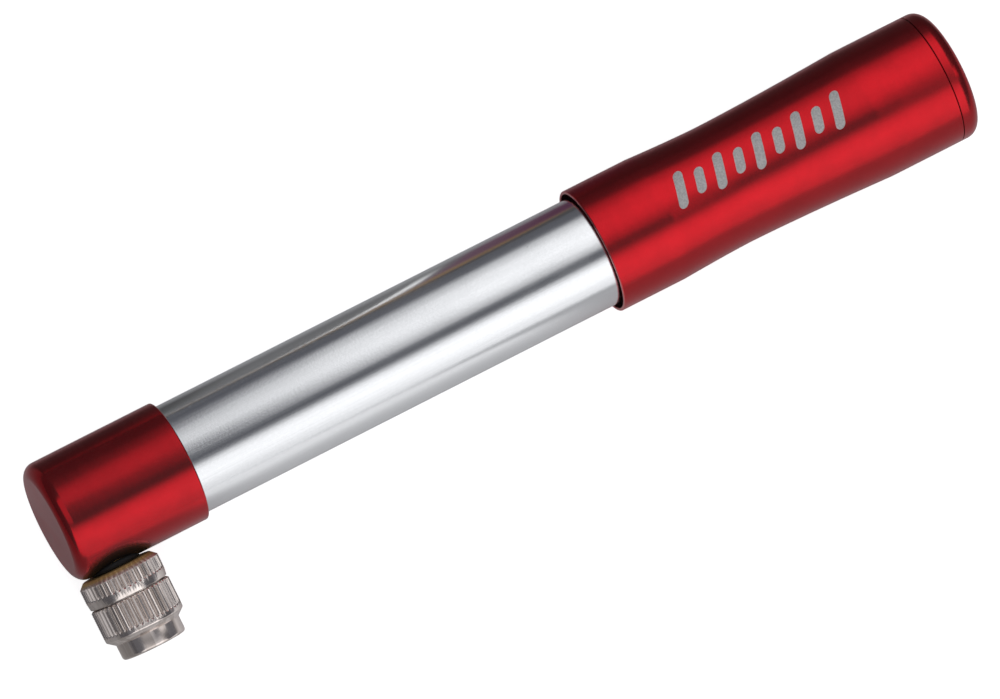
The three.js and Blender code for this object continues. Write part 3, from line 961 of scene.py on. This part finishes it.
def socket_screw(name, top, face, tip, head, shank):
    """A button-headed screw with a hexagon socket."""
    way = math.copysign(1, tip - face)
    outline = [
        (top, head, 0.7 * MM),
        (face, head, 0.15 * MM),
        (face, shank),
        (tip, shank, 0.6 * MM),
    ]
    screw = turn(name, outline, SMALL_SIDES, capped=True)
    socket, depth = 2.0 * MM, 1.4 * MM
    cutter = turn("hexagon", [(top - way * MM, socket), (top + way * depth, socket)], 6, capped=True)
    cut(screw, cutter)
    return screw


class PUMP_OT_piston(bpy.types.Operator):
    """Turn the piston with its ring groove and front notches, and the screw and washer that hold it"""

    bl_idname = "pump.piston"
    bl_label = "Piston"

    def execute(self, context):
        start, end, flange = span("piston")
        pocket_end, pocket = 18.4 * MM, 5.1 * MM
        groove_start, groove_end, groove = 17.9 * MM, 21.5 * MM, 6.7 * MM
        rear_end, boss, socket, clearance = 24.4 * MM, 6.2 * MM, 4.05 * MM, 2.6 * MM
        rod_start = span("piston_rod")[0] - 0.05 * MM
        edge = 0.25 * MM
        outline = [
            (start, pocket, edge),
            (start, flange, edge),
            (groove_start, flange, 0.1 * MM),
            (groove_start, groove),
            (groove_end, groove),
            (groove_end, flange, 0.1 * MM),
            (rear_end, flange, edge),
            (rear_end, boss),
            (end, boss, edge),
            (end, socket, edge),
            (rod_start, socket),
            (rod_start, clearance),
            (pocket_end, clearance),
            (pocket_end, pocket),
        ]
        body = turn("piston_body", outline, SMALL_SIDES * 2)
        notch_width, notch_floor, notches = 3 * MM, 7 * MM, 4
        start_clean()
        bpy.ops.mesh.primitive_cube_add(size=1, location=((start + groove_start) / 2 - MM / 2, 0, flange))
        bpy.context.object.scale = (groove_start - start + MM, notch_width, 2 * (flange - notch_floor))
        cut(body, copies_round(new_piece("notch"), notches))
        settle_shared(body, "piston_rod", "black acetal", "piston")
        washer = plain_ring("piston_screw_washer", "piston_washer", clearance, 0.12 * MM)
        settle_shared(washer, "piston_rod", "zinc steel", "piston_washer")
        top, tip, head = span("piston_screw")
        face = span("piston_washer")[0] - 0.05 * MM
        screw = socket_screw("piston_fixing_screw", top, face, tip, head, 2.45 * MM)
        settle_shared(screw, "piston_rod", "zinc steel", "piston_screw")
        return {"FINISHED"}


class PUMP_OT_rod(bpy.types.Operator):
    """Turn the rod with its collar, its stop bumper, and the screw and washer at the handle's end"""

    bl_idname = "pump.rod"
    bl_label = "Rod"

    def execute(self, context):
        fit, clearance = 4.05 * MM, 2.6 * MM
        rings = (
            ("push_rod", "piston_rod", 2.5 * MM, 0.3 * MM, SMALL_SIDES * 2, "ground aluminium"),
            ("pull_stop", "stop_bumper", fit, 0.5 * MM, SMALL_SIDES, "black rubber"),
            ("push_collar", "rod_collar", fit, 0.15 * MM, SMALL_SIDES, "zinc steel"),
            ("rod_screw_washer", "rod_washer", clearance, 0.12 * MM, SMALL_SIDES, "zinc steel"),
        )
        for name, node, inner, edge, sides, finish in rings:
            settle_shared(plain_ring(name, node, inner, edge, sides), "piston_rod", finish, node)
        tip, top, head = span("rod_screw")
        face = span("rod_washer")[1] + 0.05 * MM
        screw = socket_screw("rod_fixing_screw", top, face, tip, head, 2.45 * MM)
        settle_shared(screw, "piston_rod", "zinc steel", "rod_screw")
        return {"FINISHED"}


# ---------------------------------------------------------------- handle


def swell(waist, end, share):
    """The radius at a share of the way from the waist to the soft crease where a straight stretch starts."""
    return waist + (end - waist) * share**1.5


class PUMP_OT_handle_sleeve(bpy.types.Operator):
    """Turn the thin handle sleeve with its shallow waist and etch its mark"""

    bl_idname = "pump.handle_sleeve"
    bl_label = "Handle sleeve"

    def execute(self, context):
        sizes = context.scene.pump_handle
        start, end, tail = span("handle_sleeve")
        end += (FRAME_SEAM - sizes.seam) / 2
        waist = start + sizes.waist
        steps = 18
        outside = []
        for i in range(steps):
            station = start + sizes.rim_length + (sizes.waist - sizes.rim_length) * i / steps
            outside.append((station, swell(sizes.waist_radius, sizes.rim_radius, 1 - i / steps)))
        for i in range(2 * steps + 1):
            station = waist + (sizes.tail - sizes.waist) * i / (2 * steps)
            outside.append((station, swell(sizes.waist_radius, tail, i / (2 * steps))))
        inside = [(station, radius - sizes.wall) for station, radius in outside[::3]]
        outline = [
            (start, sizes.rim_radius - sizes.wall, 0.12 * MM),
            (start, sizes.rim_radius, sizes.rim_round),
            *outside,
            (end, tail, sizes.seam_round),
            (end, tail - sizes.wall),
            *reversed(inside),
        ]
        sleeve = turn("grip_sleeve", outline)
        half_row = 18.4 * MM
        mark = {
            "turn": sizes.mark_turn,
            "radius": sizes.waist_radius,
            "slant": -0.3,
            "start": start + sizes.mark_centre - half_row,
            "pitch": 4.04 * MM,
            "height": 2.4 * MM,
            "bar": 0.95 * MM,
            "count": 9.0,
        }
        finish = red_anodised("red anodised grip", start, mark=mark)
        settle(sleeve, "handle", "red_anodised", finish, "handle_sleeve")
        return {"FINISHED"}


class PUMP_OT_handle_cap(bpy.types.Operator):
    """Turn the handle's end cap with its spigot"""

    bl_idname = "pump.handle_cap"
    bl_label = "Handle cap"

    def execute(self, context):
        sizes = context.scene.pump_handle
        spigot_start, end, radius = span("handle_cap")
        skirt = span("handle_sleeve")[1] + (FRAME_SEAM + sizes.seam) / 2
        floor = end - sizes.cap_end
        outline = [
            (floor, sizes.hollow),
            (spigot_start, sizes.hollow, 0.2 * MM),
            (spigot_start, sizes.spigot, 0.2 * MM),
            (skirt, sizes.spigot),
            (skirt, radius, sizes.seam_round),
            (end, radius, sizes.cap_corner),
        ]
        cap = turn("grip_cap", outline, capped=True)
        settle(cap, "handle", "red_anodised", red_anodised("red anodised cap"), "handle_cap")
        return {"FINISHED"}


class PUMP_OT_handle_inside(bpy.types.Operator):
    """Turn the plug that joins the sleeve to the rod and the bumper on its face"""

    bl_idname = "pump.handle_inside"
    bl_label = "Handle plug and bumper"

    def execute(self, context):
        start, end, radius = span("handle_plug")
        hole, waist, land = 4.1 * MM, 10.4 * MM, 1.8 * MM
        edge = 0.25 * MM
        outline = [
            (start, hole, edge),
            (start, radius, edge),
            (start + land, radius, edge),
            (start + land, waist),
            (end - land, waist),
            (end - land, radius, edge),
            (end, radius, edge),
            (end, hole, edge),
        ]
        plug = turn("grip_plug", outline, SMALL_SIDES * 2)
        settle_shared(plug, "handle", "black acetal", "handle_plug")
        bumper = plain_ring("push_bumper", "closing_bumper", 5.9 * MM, 0.4 * MM, SMALL_SIDES * 2)
        settle_shared(bumper, "handle", "black rubber", "closing_bumper")
        return {"FINISHED"}


# ---------------------------------------------------------------- chuck


def fading(start, end, steps=4):
    """Stations of a knurl with its grooves fading out after the end."""
    fade = 0.55 * MM
    full = [(start, 1.0), (end, 1.0)]
    out = [(end + fade * i / steps, math.cos(math.pi / 2 * i / steps)) for i in range(1, steps)]
    return full + out, end + fade


class PUMP_OT_chuck_base(bpy.types.Operator):
    """Turn the chuck's stem, its knurled collar and the nose with its air passage"""

    bl_idname = "pump.chuck_base"
    bl_label = "Chuck base"

    def execute(self, context):
        sizes = context.scene.pump_chuck
        knurl_start = sizes.collar_start + 1.03 * MM
        knurl_end = 15.05 * MM
        stations, smooth_start = fading(knurl_start, knurl_end)
        groove_start, groove = 10.4 * MM, 3.62 * MM
        valve_bore, bore_end, passage = 3 * MM, 12 * MM, 1.3 * MM
        outline = [
            (sizes.stem_start, valve_bore, 0.2 * MM),
            (sizes.stem_start, sizes.stem, 0.3 * MM),
            (groove_start, sizes.stem),
            (groove_start, groove),
            (sizes.collar_start, groove),
            (sizes.collar_start, sizes.collar_neck, 0.15 * MM),
            *[(station, sizes.collar) for station, _ in stations],
            (smooth_start, sizes.collar),
            (sizes.collar_end, sizes.collar - 0.2 * MM, 0.12 * MM),
            (sizes.collar_end, sizes.nose),
            (sizes.nose_end, sizes.nose, 0.2 * MM),
            (sizes.nose_end, passage, 0.1 * MM),
            (bore_end, passage),
            (bore_end, valve_bore),
        ]
        base = turn("chuck_stem", outline, COLUMNS * sizes.teeth)
        flute(base, stations, sizes.collar, sizes)
        settle_shared(to_chuck(base), "pump_body", "nickel plate", "chuck_base")
        return {"FINISHED"}


class PUMP_OT_chuck_cap(bpy.types.Operator):
    """Turn the chuck's screw cap with its knurled ring, bevel and round-edged tip"""

    bl_idname = "pump.chuck_cap"
    bl_label = "Chuck cap"

    def execute(self, context):
        sizes = context.scene.pump_chuck
        knurl_start = sizes.ring_start + 0.2 * MM
        knurl_end = 22.1 * MM
        stations, smooth_start = fading(knurl_start, knurl_end)
        thread, thread_end, seal_bore = 6.3 * MM, 20.2 * MM, 5.3 * MM
        mouth_start = 26.4 * MM
        outline = [
            (sizes.ring_start, thread),
            (sizes.ring_start, sizes.ring - 0.25 * MM),
            *[(station, sizes.ring) for station, _ in stations],
            (smooth_start, sizes.ring),
            (sizes.shoulder, sizes.ring - 0.03 * MM, 0.12 * MM),
            (sizes.tip_start, sizes.tip),
            (sizes.tip_end, sizes.tip, 0.6 * MM),
            (sizes.tip_end, sizes.mouth, 0.25 * MM),
            (mouth_start, sizes.mouth, 0.1 * MM),
            (mouth_start, seal_bore),
            (thread_end, seal_bore),
            (thread_end, thread),
        ]
        cap = turn("chuck_screw_cap", outline, COLUMNS * sizes.teeth)
        flute(cap, stations, sizes.ring, sizes)
        settle_shared(to_chuck(cap), "chuck_cap", "nickel plate", "chuck_cap")
        return {"FINISHED"}


class PUMP_OT_valve_seal(bpy.types.Operator):
    """Make the ribbed rubber sleeve that grips the tyre valve and the pin plate behind it"""

    bl_idname = "pump.valve_seal"
    bl_label = "Valve seal and pin"

    def execute(self, context):
        start, end, inner, outer = 21.1 * MM, 26.3 * MM, 4.0 * MM, 5.2 * MM
        ribs = 3
        rib_pitch = (end - start) / (ribs + 1)
        edge, half_rib, lip, valley = 0.2 * MM, 0.3 * MM, 0.02 * MM, 0.22 * MM
        outline = [(start, inner, edge), (start, outer, edge), (end, outer, edge), (end, inner, 0.3 * MM)]
        for i in range(ribs, 0, -1):
            station = start + rib_pitch * i
            outline += [
                (station + half_rib, inner + lip),
                (station, inner + valley, 0.1 * MM),
                (station - half_rib, inner + lip),
            ]
        seal = to_chuck(turn("valve_grip", outline, SMALL_SIDES * 2))
        settle_shared(seal, "valve_seal", "black rubber", "valve_seal")
        plate_start, plate_end, plate = 20.35 * MM, 21 * MM, 5.2 * MM
        pin_end, pin = 22.9 * MM, 1 * MM
        outline = [
            (plate_start, plate, 0.1 * MM),
            (plate_end, plate, 0.1 * MM),
            (plate_end, pin),
            (pin_end, pin, 0.3 * MM),
        ]
        pin_plate = turn("core_pin", outline, SMALL_SIDES, capped=True)
        hole_radius, hole_circle, holes = 0.7 * MM, 2.9 * MM, 3
        outline = [(plate_start - MM, hole_radius), (plate_end + MM, hole_radius)]
        hole = turn("air_hole", outline, HOLE_SIDES, capped=True)
        shift(hole, (0, 0, hole_circle))
        cut(pin_plate, copies_round(hole, holes))
        settle_shared(to_chuck(pin_plate), "valve_seal", "bare brass", "valve_pin")
        return {"FINISHED"}


class PUMP_OT_check_valve(bpy.types.Operator):
    """Make the check valve: its seat, rubber disc, poppet and coil spring"""

    bl_idname = "pump.check_valve"
    bl_label = "Check valve"

    def execute(self, context):
        start, end, inner, outer, edge = 3.1 * MM, 5 * MM, 1 * MM, 2.9 * MM, 0.15 * MM
        seat = turn("valve_seat_ring", ring_outline(start, end, inner, outer, edge), SMALL_SIDES)
        settle_shared(to_chuck(seat), "pump_body", "bare brass", "check_valve_seat")
        start, end, radius, edge = 5.1 * MM, 5.7 * MM, 2.2 * MM, 0.12 * MM
        outline = [(start, radius, edge), (end, radius, edge)]
        disc = to_chuck(turn("valve_face_disc", outline, SMALL_SIDES, capped=True))
        settle_shared(disc, "check_valve", "black rubber", "check_valve_disc")
        start, face, radius, edge = 5.75 * MM, 6.6 * MM, 2.6 * MM, 0.15 * MM
        end, stem = 8.6 * MM, 1 * MM
        outline = [(start, radius, edge), (face, radius, edge), (face, stem), (end, stem, 0.3 * MM)]
        poppet = to_chuck(turn("valve_poppet", outline, SMALL_SIDES, capped=True))
        settle_shared(poppet, "check_valve", "grey nylon", "check_valve_poppet")
        coil = to_chuck(self.spring())
        settle_shared(coil, "pump_body", "zinc steel", "check_valve_spring")
        return {"FINISHED"}

    def spring(self):
        """A coil of round wire about +X, screwed up from one ring of points and closed at both ends.

        It starts where the poppet's plate comes to rest when the valve is fully open.
        """
        wire, circle, turns = 0.2 * MM, 1.8 * MM, 5
        start, end = 7.55 * MM + wire, 11.75 * MM - wire
        start_clean()
        bpy.ops.mesh.primitive_circle_add(vertices=12, radius=wire, location=(start, circle, 0))
        coil = new_piece("valve_coil")
        pitch = (end - start) / turns
        apply_modifier(
            coil,
            "Coil",
            "SCREW",
            axis="X",
            screw_offset=pitch,
            iterations=turns,
            steps=36,
            render_steps=36,
            use_merge_vertices=False,
        )
        bpy.ops.object.mode_set(mode="EDIT")
        bpy.ops.mesh.select_all(action="SELECT")
        bpy.ops.mesh.fill_holes(sides=0)
        bpy.ops.mesh.select_all(action="SELECT")
        bpy.ops.mesh.normals_make_consistent(inside=False)
        bpy.ops.object.mode_set(mode="OBJECT")
        return coil


# ---------------------------------------------------------------- stage


def view_axes():
    """The camera's right, up and forward directions, and the direction to the chuck's side in the view."""
    studio = bpy.context.scene.pump_studio
    forward = Vector(VIEW).normalized()
    barrel = (Vector((1, 0, 0)) - forward * forward.x).normalized()
    chuck_side = forward.cross(barrel)
    tilt = studio.pump_tilt
    right = barrel * math.cos(tilt) + chuck_side * math.sin(tilt)
    up = barrel * math.sin(tilt) - chuck_side * math.cos(tilt)
    return right, up, forward, chuck_side


def soft_box(name, ends, levels, near_share=1.0, near_width=1.0):
    """A long soft box over the barrel.

    The ends are distances along the barrel. The levels are pairs of an angle about the barrel, in degrees
    towards the chuck's side, and a brightness, and the first and last are the box's edges. Towards the head
    the box falls to the near share of its brightness and to the near share of its width.
    """
    _, _, forward, chuck_side = view_axes()
    reach = 0.9
    low_degrees, high_degrees = levels[0][0], levels[-1][0]
    length = ends[1] - ends[0]
    middle = Vector(((ends[0] + ends[1]) / 2, 0, 0))
    upward = (-forward + Vector((1, 0, 0)) * forward.x).normalized()
    side = Vector((0, chuck_side.y, chuck_side.z)).normalized()
    centre = (low_degrees + high_degrees) / 2
    out = upward * math.cos(math.radians(centre)) + side * math.sin(math.radians(centre))
    width = 2 * reach * math.tan(math.radians(high_degrees - centre))
    start_clean()
    bpy.ops.object.light_add(type="AREA")
    lamp = bpy.context.object
    lamp.name = name
    lamp.data.shape = "RECTANGLE"
    lamp.data.size = length
    lamp.data.size_y = width
    lamp.data.energy = length * width * math.pi
    along = Vector((1, 0, 0))
    turned_to = Matrix((along, out.cross(along), out)).transposed().to_4x4()
    lamp.matrix_world = Matrix.Translation(middle + out * reach) @ turned_to
    lamp.data.use_nodes = True
    wires = Wires(lamp.data.node_tree)
    along_box, across_box, _ = wires.parts(wires.add("ShaderNodeNewGeometry").outputs["Parametric"])
    fade = [(station - ends[0]) / length for station in FADE]
    narrowed = wires.spread(along_box, *fade, near_width, 1.0)
    across = wires.calc("DIVIDE", wires.calc("SUBTRACT", 0.5, across_box), narrowed)
    ramp = wires.add("ShaderNodeValToRGB", {"Fac": wires.calc("ADD", across, 0.5)})
    ramp.color_ramp.interpolation = "EASE"
    stops = ramp.color_ramp.elements
    for _ in levels[2:]:
        stops.new(0.5)
    for stop, (turn_degrees, level) in zip(stops, levels):
        stop.position = 0.5 + reach * math.tan(math.radians(turn_degrees - centre)) / width
        stop.color = (level, level, level, 1)
    glow = lamp.data.node_tree.nodes["Emission"]
    wires.feed(glow.inputs["Color"], ramp.outputs["Color"])
    wires.feed(glow.inputs["Strength"], wires.spread(along_box, *fade, near_share, 1.0))


class PUMP_OT_stage(bpy.types.Operator):
    """Set up the camera, the soft boxes, the surroundings and the pale floor"""

    bl_idname = "pump.stage"
    bl_label = "Stage"

    def execute(self, context):
        self.camera(context)
        self.floor(context)
        self.world(context)
        left = ((-80, 0), (-66, 0.66), (-50, 1.04), (-28, 1.13), (-15, 1.02), (-5, 0.66), (8, 0))
        right = ((16, 0), (22, 0.34), (27, 0.8), (35, 1.12), (48, 1.22), (60, 1.1), (72, 0.9), (85, 0.8))
        front = ((-42, 0), (-34, 0.6), (-6, 0.5), (10, 0.4), (18, 0))
        far = ((-1, 0), (3, 1), (14, 1), (18, 0))
        soft_box("left soft box", (0.09, 0.6), left, near_share=0.45, near_width=0.44)
        soft_box("right soft box", (-0.8, 0.6), right, near_share=0.88)
        soft_box("front soft box", (-0.8, 0.09), front)
        soft_box("far soft box", (0.45, 1.1), far)
        context.scene.view_settings.view_transform = "Standard"
        return {"FINISHED"}

    def camera(self, context):
        studio = context.scene.pump_studio
        right, up, forward, chuck_side = view_axes()
        target = Vector((1, 0, 0)) * studio.along + chuck_side * studio.across
        start_clean()
        bpy.ops.object.camera_add()
        camera = context.object
        camera.name = "camera"
        turned = Matrix((right, up, -forward)).transposed().to_4x4()
        camera.matrix_world = Matrix.Translation(target - forward * studio.distance) @ turned
        camera.data.lens = studio.focal_length
        camera.data.sensor_width = 36
        camera.data.clip_start = 0.1
        camera.data.clip_end = 50
        context.scene.camera = camera

    def floor(self, context):
        tints = context.scene.pump_colours
        start_clean()
        bpy.ops.mesh.primitive_plane_add(size=8, location=(0.09, 0, CAD_BOX[0].z))
        floor = new_piece("floor")
        made, wires, shader, place = material("studio floor")
        seen = wires.add("ShaderNodeLightPath").outputs["Is Camera Ray"]
        grain = wires.noise(place, 400.0, 3.0)
        plain = wires.mix(grain, rgba(tints.floor, 0.99), rgba(tints.floor, 1.01))
        # What shiny pieces see of the floor is painted light and shade, not the floor's own look.
        painted_mirror_tone, glow = self.painted_floor_reflections(wires, place, tints.floor)
        wires.feed(shader.inputs["Base Color"], wires.mix(seen, painted_mirror_tone, plain))
        wires.feed(shader.inputs["Emission Color"], wires.mix(seen, glow, (1, 1, 1, 1)))
        shader.inputs["Emission Strength"].default_value = 0.78
        shader.inputs["Roughness"].default_value = 0.9
        shader.inputs["Specular IOR Level"].default_value = 0.0
        floor.data.materials.append(made)

    def painted_floor_reflections(self, wires, place, tint):
        """What shiny pieces mirror of the floor: its colour and its glow by the place on it, in metres.

        It is painted dark behind the barrel and bright on the chuck's side: painted shade and painted light
        that only reflections and bounced light see, with a painted warm strip and a painted glowing strip.
        """
        along, across, _ = wires.parts(place)
        bright, even, pale, dark = (rgba(tint, share) for share in (0.85, 0.5, 0.3, 0.16))
        # a warm strip painted on the floor as a reflection for the barrel to mirror
        warm = wires.mix(wires.spread(across, 0.06, 0.13), (0.2, 0.08, 0.14, 1), (0.46, 0.3, 0.16, 1))
        behind = wires.mix(wires.spread(along, 0.035, 0.055), dark, pale)
        behind = wires.mix(wires.spread(along, 0.088, 0.1), behind, warm)
        behind = wires.mix(wires.spread(along, 0.125, 0.14), behind, dark)
        graded = wires.mix(wires.spread(across, 0.016, 0.036), bright, behind)
        graded = wires.mix(wires.spread(along, -0.012, 0.004), even, graded)
        beside_barrel = wires.band(along, 0.025, 0.045, 0.1, 0.12)
        # painted light glowing on the chuck's side of the floor
        chuck_side = wires.spread(across, -0.08, -0.005, 0.6, 0.05)
        # a glowing strip painted on the floor, seen only in reflections
        glow_strip = wires.band(along, 0.084, 0.087, 0.089, 0.092)
        glow_strip = wires.calc("MULTIPLY", glow_strip, wires.spread(across, 0.028, 0.07, 0.0, 1.6))
        share = wires.calc("MULTIPLY_ADD", beside_barrel, 0.95, 0.05)
        return graded, wires.calc("MULTIPLY_ADD", chuck_side, share, glow_strip)

    def world(self, context):
        world = bpy.data.worlds.new("studio")
        context.scene.world = world
        world.use_nodes = True
        wires = Wires(world.node_tree)
        background = world.node_tree.nodes["Background"]
        seen = wires.add("ShaderNodeLightPath").outputs["Is Camera Ray"]
        dim_blue, white = (0.11, 0.113, 0.128, 1), (1, 1, 1, 1)
        wires.feed(background.inputs["Color"], wires.mix(seen, dim_blue, white))


# ---------------------------------------------------------------- panel and registration


PIECES = (
    PUMP_OT_head,
    PUMP_OT_barrel,
    PUMP_OT_guide_bush,
    PUMP_OT_seals,
    PUMP_OT_piston,
    PUMP_OT_rod,
    PUMP_OT_handle_sleeve,
    PUMP_OT_handle_cap,
    PUMP_OT_handle_inside,
    PUMP_OT_chuck_base,
    PUMP_OT_chuck_cap,
    PUMP_OT_valve_seal,
    PUMP_OT_check_valve,
    PUMP_OT_stage,
)


class PUMP_PT_panel(bpy.types.Panel):
    """Lists the pump's pieces in the order in which they are made"""

    bl_idname = "PUMP_PT_panel"
    bl_label = "Mini pump"
    bl_space_type = "VIEW_3D"
    bl_region_type = "UI"
    bl_category = "Mini pump"

    def draw(self, context):
        for piece in PIECES:
            self.layout.operator(piece.bl_idname)


SETTINGS = {
    "pump_head": HeadSizes,
    "pump_handle": HandleSizes,
    "pump_chuck": ChuckSizes,
    "pump_colours": FinishColours,
    "pump_studio": StudioSizes,
}


def register():
    for group in SETTINGS.values():
        bpy.utils.register_class(group)
    for piece in PIECES:
        bpy.utils.register_class(piece)
    bpy.utils.register_class(PUMP_PT_panel)
    for name, group in SETTINGS.items():
        setattr(bpy.types.Scene, name, PointerProperty(type=group))


def unregister():
    for name in SETTINGS:
        delattr(bpy.types.Scene, name)
    bpy.utils.unregister_class(PUMP_PT_panel)
    for piece in reversed(PIECES):
        bpy.utils.unregister_class(piece)
    for group in reversed(list(SETTINGS.values())):
        bpy.utils.unregister_class(group)


def main():
    """Make every piece in order, then set up the stage."""
    register()
    bpy.ops.pump.head()
    bpy.ops.pump.barrel()
    bpy.ops.pump.guide_bush()
    bpy.ops.pump.seals()
    bpy.ops.pump.piston()
    bpy.ops.pump.rod()
    bpy.ops.pump.handle_sleeve()
    bpy.ops.pump.handle_cap()
    bpy.ops.pump.handle_inside()
    bpy.ops.pump.chuck_base()
    bpy.ops.pump.chuck_cap()
    bpy.ops.pump.valve_seal()
    bpy.ops.pump.check_valve()
    bpy.ops.pump.stage()


if __name__ == "__main__":
    main()
